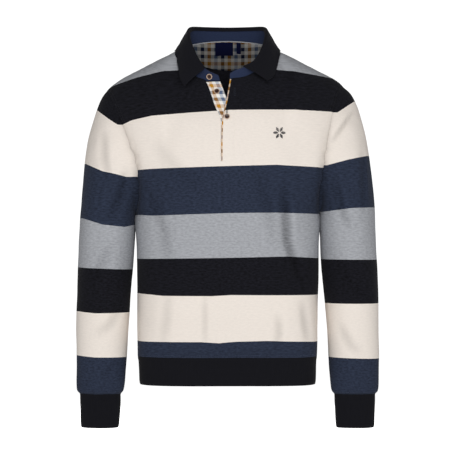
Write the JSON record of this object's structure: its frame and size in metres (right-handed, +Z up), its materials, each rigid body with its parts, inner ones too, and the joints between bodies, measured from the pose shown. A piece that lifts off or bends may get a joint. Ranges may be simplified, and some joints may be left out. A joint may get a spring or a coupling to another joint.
{
  "type": "worn polo sweatshirt held up by its wearer's shoulders",
  "caption": "Striped polo sweatshirt, filled out and hollow, with turned-down collar, button placket, set-in sleeves and ribbed hem and cuffs",
  "frame": {"origin": "on the centre line between the shoulders, at the level where the neck meets them, where the wearer holds the garment up", "axes": "+Z up along the garment's length, -Y to the garment's front, +X to the wearer's left"},
  "size_m": [0.616, 0.2482, 0.8229],
  "materials": {
    "striped_knit": "brushed sweatshirt knit in broad black, cream, blue and grey stripes, matt",
    "black_rib": "fine black rib, matt",
    "black_collar": "black cloth with a short nap, matt",
    "navy_stand": "navy cloth, matt",
    "check_shirting": "woven cotton check in white, navy and mustard",
    "woven_tape": "plain navy woven tape, slight sheen",
    "horn": "brown horn-like resin, polished"
  },
  "bodies": {
    "root": {"front_panel": "striped_knit", "back_panel": "striped_knit", "sleeve_right": "striped_knit", "sleeve_left": "striped_knit", "placket_top": "striped_knit", "cuff_right": "black_rib", "cuff_left": "black_rib", "hem_band": "black_rib", "collar_leaf": "black_collar", "collar_stand": "navy_stand", "placket_under": "check_shirting", "placket_facing": "check_shirting", "neck_facing": "check_shirting", "neck_label": "woven_tape", "size_tab": "woven_tape", "button_collar": "horn", "button_middle": "horn", "button_lower": "horn"}
  },
  "joints": []
}
